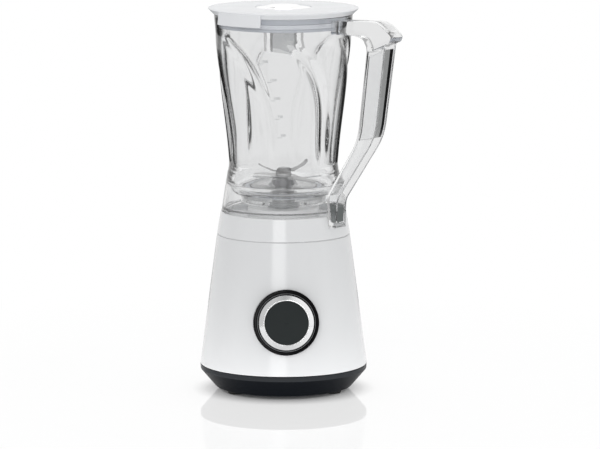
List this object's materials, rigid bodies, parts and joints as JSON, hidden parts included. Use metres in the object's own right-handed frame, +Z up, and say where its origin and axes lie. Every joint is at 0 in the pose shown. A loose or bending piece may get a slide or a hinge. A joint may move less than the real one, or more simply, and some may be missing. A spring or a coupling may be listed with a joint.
{
  "type": "countertop blender",
  "caption": "Countertop blender: white tapered motor base with a front control knob, clear ribbed jug with open-channel handle, frosted lid and measuring cup.",
  "frame": {"origin": "on the vertical axis of motor, blades and jug, at the plane the four feet stand on", "axes": "+Z up, -Y towards the control knob, +X to the right as seen from the front"},
  "size_m": [0.204, 0.1875, 0.4],
  "materials": {
    "white_plastic": "gloss",
    "dark_plastic": "satin",
    "black_gloss": "gloss",
    "knob_grey": "matte",
    "silver": "polished",
    "rubber": "matte",
    "clear_plastic": "clear",
    "frosted_plastic": "frosted",
    "steel": "satin",
    "lamination": "satin",
    "copper": "enamelled",
    "bronze": "satin",
    "pale_plastic": "satin",
    "smoke_plastic": "clear",
    "grey_plastic": "matte",
    "carbon": "matte",
    "board_green": "matte"
  },
  "bodies": {
    "base": {"base_shell": "white_plastic", "top_collar": "white_plastic", "drive_socket": "pale_plastic", "bottom_plate": "dark_plastic", "rubber_feet": "rubber", "plate_screws": "steel", "cord_gland": "rubber", "knob_bezel": "black_gloss", "rotary_switch": "carbon", "switch_nut": "steel", "control_board": "board_green", "stator_core": "lamination", "field_coils": "copper", "top_bracket": "steel", "low_bracket": "steel", "top_bearing": "steel", "low_bearing": "bronze", "motor_bolts": "steel", "motor_dampers": "rubber", "motor_screws": "steel", "brush_holders": "bronze", "carbon_brushes": "carbon", "shaft_seal": "rubber"},
    "rotor": {"motor_shaft": "steel", "armature_core": "lamination", "armature_winding": "copper", "commutator": "copper", "cooling_fan": "grey_plastic", "drive_coupling": "grey_plastic"},
    "knob": {"knob_body": "black_gloss", "knob_ring": "silver", "knob_face": "knob_grey", "switch_shaft": "steel"},
    "jug": {"jug": "clear_plastic", "handle_cover": "smoke_plastic", "blade_carrier": "pale_plastic", "jug_seal": "rubber", "lock_ring": "pale_plastic", "spindle_bush": "bronze"},
    "blades": {"blade_spindle": "steel", "low_blade": "steel", "middle_blade": "steel", "top_blade": "steel", "blade_spacers": "steel", "thrust_washer": "steel", "cap_nut": "steel", "driven_coupling": "grey_plastic"},
    "lid": {"lid": "frosted_plastic", "lid_seal": "rubber"},
    "cup": {"measuring_cup": "clear_plastic"}
  },
  "joints": [
    {"name": "knob_turn", "type": "hinge", "parent": "base", "child": "knob", "pos_m": [0, -0.0793, 0.0826], "axis": [0, -0.9916, 0.1295], "range_deg": [-90, 45]},
    {"name": "motor_spin", "type": "hinge", "parent": "base", "child": "rotor", "pos_m": [0, 0, 0.1], "axis": [0, 0, 1], "continuous": true},
    {"name": "jug_lift", "type": "slide", "parent": "base", "child": "jug", "axis": [0, 0, 1], "range_m": [0, 0.08]},
    {"name": "blade_spin", "type": "hinge", "parent": "jug", "child": "blades", "pos_m": [0, 0, 0.22], "axis": [0, 0, 1], "continuous": true},
    {"name": "lid_lift", "type": "slide", "parent": "jug", "child": "lid", "axis": [0, 0, 1], "range_m": [0, 0.12]},
    {"name": "cup_lift", "type": "slide", "parent": "lid", "child": "cup", "axis": [0, 0, 1], "range_m": [0, 0.06]}
  ],
  "couplings": [
    {"joint": "blade_spin", "follows": "motor_spin", "ratio": 1}
  ]
}
